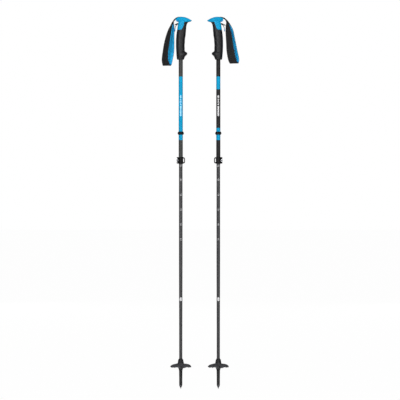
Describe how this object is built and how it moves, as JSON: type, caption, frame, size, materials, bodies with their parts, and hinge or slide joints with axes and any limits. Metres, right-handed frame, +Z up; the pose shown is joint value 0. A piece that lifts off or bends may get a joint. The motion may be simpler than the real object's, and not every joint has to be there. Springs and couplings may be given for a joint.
{
  "type": "adjustable touring pole pair",
  "caption": "Pair of adjustable touring poles with hooked grips, wrist straps, flip-lever length locks, marked lower tubes, lobed powder baskets and metal tips.",
  "frame": {"origin": "midway between the two tips, on the ground plane the tips touch", "axes": "+Z up along both poles, +X from the left pole to the right pole, +Y away from a viewer who sees the beaks face each other"},
  "size_m": [0.2605, 0.0702, 1.2476],
  "materials": {
    "grip_rubber": "fine matte grain",
    "head_plastic": "satin, fine mould texture",
    "strap_webbing": "black woven webbing",
    "strap_lining": "blue woven lining",
    "hardware_steel": "bright turned steel",
    "upper_tube_paint": "satin dark grey with blue painted bands",
    "ring_rubber": "smooth matte",
    "lock_plastic": "glass-filled, fine texture",
    "lever_plastic": "glass-filled, fine texture",
    "bushing_plastic": "smooth",
    "lower_tube_anodised": "dark anodised, satin",
    "ferrule_plastic": "smooth, lightly scuffed",
    "tip_metal": "dark hardened tip",
    "basket_plastic": "fine mould texture"
  },
  "bodies": {
    "left_upper": {"left_grip": "grip_rubber", "left_grip_head": "head_plastic", "left_strap_webbing": "strap_webbing", "left_strap_lining": "strap_lining", "left_strap_wedge": "head_plastic", "left_strap_pin": "hardware_steel", "left_upper_tube": "upper_tube_paint", "left_shaft_ring": "ring_rubber", "left_lock_collar": "lock_plastic", "left_lock_barrel": "hardware_steel", "left_lock_screw": "hardware_steel", "left_cam_washer": "hardware_steel", "left_mouth_bushing": "bushing_plastic"},
    "left_lever": {"left_lock_lever": "lever_plastic"},
    "left_lower": {"left_lower_tube": "lower_tube_anodised", "left_tube_guide": "bushing_plastic", "left_tip_ferrule": "ferrule_plastic", "left_tip": "tip_metal"},
    "left_basket_body": {"left_basket": "basket_plastic"},
    "right_upper": {"right_grip": "grip_rubber", "right_grip_head": "head_plastic", "right_strap_webbing": "strap_webbing", "right_strap_lining": "strap_lining", "right_strap_wedge": "head_plastic", "right_strap_pin": "hardware_steel", "right_upper_tube": "upper_tube_paint", "right_shaft_ring": "ring_rubber", "right_lock_collar": "lock_plastic", "right_lock_barrel": "hardware_steel", "right_lock_screw": "hardware_steel", "right_cam_washer": "hardware_steel", "right_mouth_bushing": "bushing_plastic"},
    "right_lever": {"right_lock_lever": "lever_plastic"},
    "right_lower": {"right_lower_tube": "lower_tube_anodised", "right_tube_guide": "bushing_plastic", "right_tip_ferrule": "ferrule_plastic", "right_tip": "tip_metal"},
    "right_basket_body": {"right_basket": "basket_plastic"}
  },
  "joints": [
    {"name": "left_lever_flip", "type": "hinge", "parent": "left_upper", "child": "left_lever", "pos_m": [-0.0737, 0.007, 0.766], "axis": [0, 0, 1], "range_deg": [0, 120]},
    {"name": "left_length_slide", "type": "slide", "parent": "left_upper", "child": "left_lower", "axis": [0, 0, 1], "range_m": [0, 0.3]},
    {"name": "left_basket_turn", "type": "hinge", "parent": "left_lower", "child": "left_basket_body", "pos_m": [-0.063, 0, 0.082], "axis": [0, 0, 1], "continuous": true},
    {"name": "right_pole_apart", "type": "slide", "parent": "left_upper", "child": "right_upper", "axis": [1, 0, 0], "range_m": [0, 0.2]},
    {"name": "right_lever_flip", "type": "hinge", "parent": "right_upper", "child": "right_lever", "pos_m": [0.0737, -0.007, 0.766], "axis": [0, 0, 1], "range_deg": [0, 120]},
    {"name": "right_length_slide", "type": "slide", "parent": "right_upper", "child": "right_lower", "axis": [0, 0, 1], "range_m": [0, 0.3]},
    {"name": "right_basket_turn", "type": "hinge", "parent": "right_lower", "child": "right_basket_body", "pos_m": [0.063, 0, 0.082], "axis": [0, 0, 1], "continuous": true}
  ]
}
